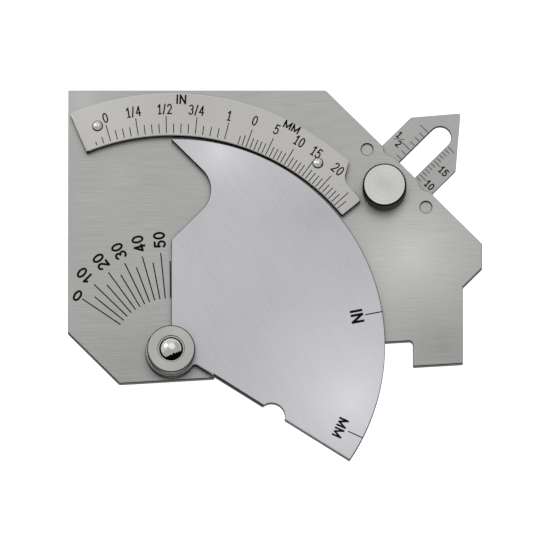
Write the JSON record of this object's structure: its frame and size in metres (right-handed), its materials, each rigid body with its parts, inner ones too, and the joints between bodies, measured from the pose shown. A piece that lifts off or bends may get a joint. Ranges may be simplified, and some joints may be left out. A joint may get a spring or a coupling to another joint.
{
  "type": "weld gauge",
  "caption": "Flat steel weld gauge: bridge plate with feet, swinging cam read on a riveted arc scale, and a sliding throat pointer under a knurled thumb screw.",
  "frame": {"origin": "the cam's pivot axis, in the plane that the rear rivet heads rest on", "axes": "+X along the plate's top edge towards the nose, +Y up towards the top edge, +Z out of the front face"},
  "size_m": [0.1036, 0.0945, 0.0143],
  "materials": {
    "brushed_plate": "stainless steel, fine straight brushing along the top edge",
    "brushed_cam": "stainless steel, fine slanted brushing",
    "bright_scale": "stainless steel, satin, with dark engraved graduations",
    "brushed_pointer": "stainless steel, satin, with dark engraved graduations",
    "polished_rivet": "polished dome",
    "plain_rivet": "cut end, satin",
    "turned_steel": "turned, with fine rings",
    "spring_steel": "dull spring steel",
    "knurled_steel": "turned face, straight knurl"
  },
  "bodies": {
    "frame": {"body_plate": "brushed_plate", "arc_scale": "bright_scale", "scale_rivets": "polished_rivet", "pivot_rivet": "polished_rivet", "pivot_washer": "turned_steel", "disc_spring": "spring_steel", "rear_washer": "turned_steel", "guide_rivets": "plain_rivet"},
    "cam": {"cam_plate": "brushed_cam"},
    "pointer": {"throat_pointer": "brushed_pointer"},
    "screw": {"thumb_screw": "knurled_steel"},
    "nut": {"clamp_nut": "turned_steel"}
  },
  "joints": [
    {"name": "cam_swing", "type": "hinge", "parent": "frame", "child": "cam", "pos_m": [0, 0, 0.0065], "axis": [0, 0, 1], "continuous": true},
    {"name": "pointer_slide", "type": "slide", "parent": "frame", "child": "pointer", "axis": [0.7071, 0.7071, 0], "range_m": [-0.0185, 0.0078]},
    {"name": "screw_turn", "type": "hinge", "parent": "frame", "child": "screw", "pos_m": [0.05327, 0.04151, 0.0065], "axis": [0, 0, 1], "range_deg": [0, 360]},
    {"name": "nut_travel", "type": "slide", "parent": "frame", "child": "nut", "axis": [0, 0, -1], "range_m": [0, 0.0007]}
  ],
  "couplings": [
    {"joint": "screw_turn", "follows": "nut_travel", "rad_per_m": 8975}
  ]
}
